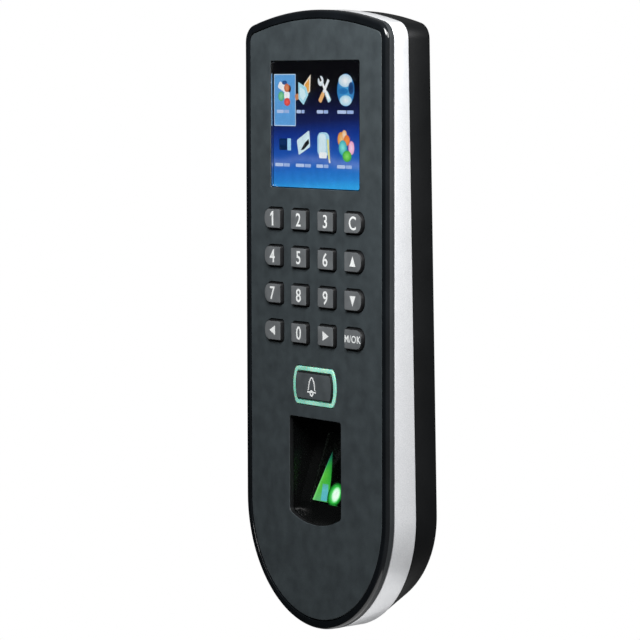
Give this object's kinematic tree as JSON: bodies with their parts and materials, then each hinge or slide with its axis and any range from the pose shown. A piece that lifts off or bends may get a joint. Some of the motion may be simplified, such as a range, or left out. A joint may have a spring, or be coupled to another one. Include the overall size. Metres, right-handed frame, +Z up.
{
  "type": "fingerprint scanner terminal",
  "caption": "Slim wall-mounted fingerprint scanner terminal with colour display, keypad, lit doorbell key and a recessed finger well, on a steel wall bracket.",
  "frame": {"origin": "middle of the wall bracket's back face, in the plane of the wall, halfway up the terminal", "axes": "+Z up, +Y into the wall, -Y out of the front towards the user, +X to the right seen from the front"},
  "size_m": [0.0816, 0.0221, 0.205],
  "materials": {
    "gloss_black": "gloss",
    "matt_black": "fine moulded texture",
    "satin_black": "satin",
    "silver_paint": "satin silver paint on plastic",
    "key_plastic": "satin with printed white symbols",
    "light_guide": "translucent mint, lit",
    "window": "clear smoked acrylic",
    "display": "emissive",
    "silicone": "moulded",
    "prism_glass": "polished, lit green",
    "circuit_board": "solder mask",
    "nylon": "moulded",
    "zinc_steel": "zinc plated",
    "copper": "enamelled copper wire",
    "chip_black": "moulded epoxy",
    "lamp": "emissive",
    "polyimide": "flexible circuit film"
  },
  "bodies": {
    "housing": {"front_frame": "gloss_black", "face_plate": "matt_black", "display_window": "window", "lcd_module": "display", "display_cradle": "satin_black", "bell_light_ring": "light_guide", "keypad_mat": "silicone", "keypad_board": "circuit_board", "sensor_well": "satin_black", "sensor_prism": "prism_glass", "sensor_board": "circuit_board", "sensor_camera": "chip_black", "sensor_lamp": "lamp", "silver_band": "silver_paint", "rear_housing": "satin_black", "wall_bracket": "zinc_steel", "case_screw_1": "zinc_steel", "case_screw_2": "zinc_steel", "case_screw_3": "zinc_steel", "case_screw_4": "zinc_steel", "board_screw_1": "zinc_steel", "board_screw_2": "zinc_steel", "board_screw_3": "zinc_steel", "board_screw_4": "zinc_steel", "locking_screw": "zinc_steel", "main_board": "circuit_board", "network_header": "nylon", "power_header": "nylon", "lock_header": "nylon", "cell_holder": "nylon", "backup_cell": "zinc_steel", "card_coil": "copper", "processor_shield": "zinc_steel", "speaker": "chip_black", "tamper_switch": "chip_black", "display_ribbon": "polyimide", "sensor_ribbon": "polyimide"},
    "key_1_body": {"key_1": "key_plastic"},
    "key_2_body": {"key_2": "key_plastic"},
    "key_3_body": {"key_3": "key_plastic"},
    "key_clear_body": {"key_clear": "key_plastic"},
    "key_4_body": {"key_4": "key_plastic"},
    "key_5_body": {"key_5": "key_plastic"},
    "key_6_body": {"key_6": "key_plastic"},
    "key_up_body": {"key_up": "key_plastic"},
    "key_7_body": {"key_7": "key_plastic"},
    "key_8_body": {"key_8": "key_plastic"},
    "key_9_body": {"key_9": "key_plastic"},
    "key_down_body": {"key_down": "key_plastic"},
    "key_left_body": {"key_left": "key_plastic"},
    "key_0_body": {"key_0": "key_plastic"},
    "key_right_body": {"key_right": "key_plastic"},
    "key_menu_ok_body": {"key_menu_ok": "key_plastic"},
    "bell_key_body": {"bell_key": "key_plastic"},
    "tamper_plunger_body": {"tamper_plunger": "nylon"}
  },
  "joints": [
    {"name": "key_1_press", "type": "slide", "parent": "housing", "child": "key_1_body", "axis": [0, 0.9998, -0.0195], "range_m": [0, 0.0009], "stiffness_N_per_m": 900},
    {"name": "key_2_press", "type": "slide", "parent": "housing", "child": "key_2_body", "axis": [0, 0.9998, -0.0195], "range_m": [0, 0.0009], "stiffness_N_per_m": 900},
    {"name": "key_3_press", "type": "slide", "parent": "housing", "child": "key_3_body", "axis": [0, 0.9998, -0.0195], "range_m": [0, 0.0009], "stiffness_N_per_m": 900},
    {"name": "key_clear_press", "type": "slide", "parent": "housing", "child": "key_clear_body", "axis": [0, 0.9998, -0.0195], "range_m": [0, 0.0009], "stiffness_N_per_m": 900},
    {"name": "key_4_press", "type": "slide", "parent": "housing", "child": "key_4_body", "axis": [0, 0.9998, -0.0195], "range_m": [0, 0.0009], "stiffness_N_per_m": 900},
    {"name": "key_5_press", "type": "slide", "parent": "housing", "child": "key_5_body", "axis": [0, 0.9998, -0.0195], "range_m": [0, 0.0009], "stiffness_N_per_m": 900},
    {"name": "key_6_press", "type": "slide", "parent": "housing", "child": "key_6_body", "axis": [0, 0.9998, -0.0195], "range_m": [0, 0.0009], "stiffness_N_per_m": 900},
    {"name": "key_up_press", "type": "slide", "parent": "housing", "child": "key_up_body", "axis": [0, 0.9998, -0.0195], "range_m": [0, 0.0009], "stiffness_N_per_m": 900},
    {"name": "key_7_press", "type": "slide", "parent": "housing", "child": "key_7_body", "axis": [0, 0.9998, -0.0195], "range_m": [0, 0.0009], "stiffness_N_per_m": 900},
    {"name": "key_8_press", "type": "slide", "parent": "housing", "child": "key_8_body", "axis": [0, 0.9998, -0.0195], "range_m": [0, 0.0009], "stiffness_N_per_m": 900},
    {"name": "key_9_press", "type": "slide", "parent": "housing", "child": "key_9_body", "axis": [0, 0.9998, -0.0195], "range_m": [0, 0.0009], "stiffness_N_per_m": 900},
    {"name": "key_down_press", "type": "slide", "parent": "housing", "child": "key_down_body", "axis": [0, 0.9998, -0.0195], "range_m": [0, 0.0009], "stiffness_N_per_m": 900},
    {"name": "key_left_press", "type": "slide", "parent": "housing", "child": "key_left_body", "axis": [0, 0.9998, -0.0195], "range_m": [0, 0.0009], "stiffness_N_per_m": 900},
    {"name": "key_0_press", "type": "slide", "parent": "housing", "child": "key_0_body", "axis": [0, 0.9998, -0.0195], "range_m": [0, 0.0009], "stiffness_N_per_m": 900},
    {"name": "key_right_press", "type": "slide", "parent": "housing", "child": "key_right_body", "axis": [0, 0.9998, -0.0195], "range_m": [0, 0.0009], "stiffness_N_per_m": 900},
    {"name": "key_menu_ok_press", "type": "slide", "parent": "housing", "child": "key_menu_ok_body", "axis": [0, 0.9998, -0.0195], "range_m": [0, 0.0009], "stiffness_N_per_m": 900},
    {"name": "bell_key_press", "type": "slide", "parent": "housing", "child": "bell_key_body", "axis": [0, 0.9998, -0.0195], "range_m": [0, 0.0007], "stiffness_N_per_m": 1100},
    {"name": "tamper_plunger_press", "type": "slide", "parent": "housing", "child": "tamper_plunger_body", "axis": [0, -1, 0], "range_m": [0, 0.0005], "stiffness_N_per_m": 600}
  ]
}
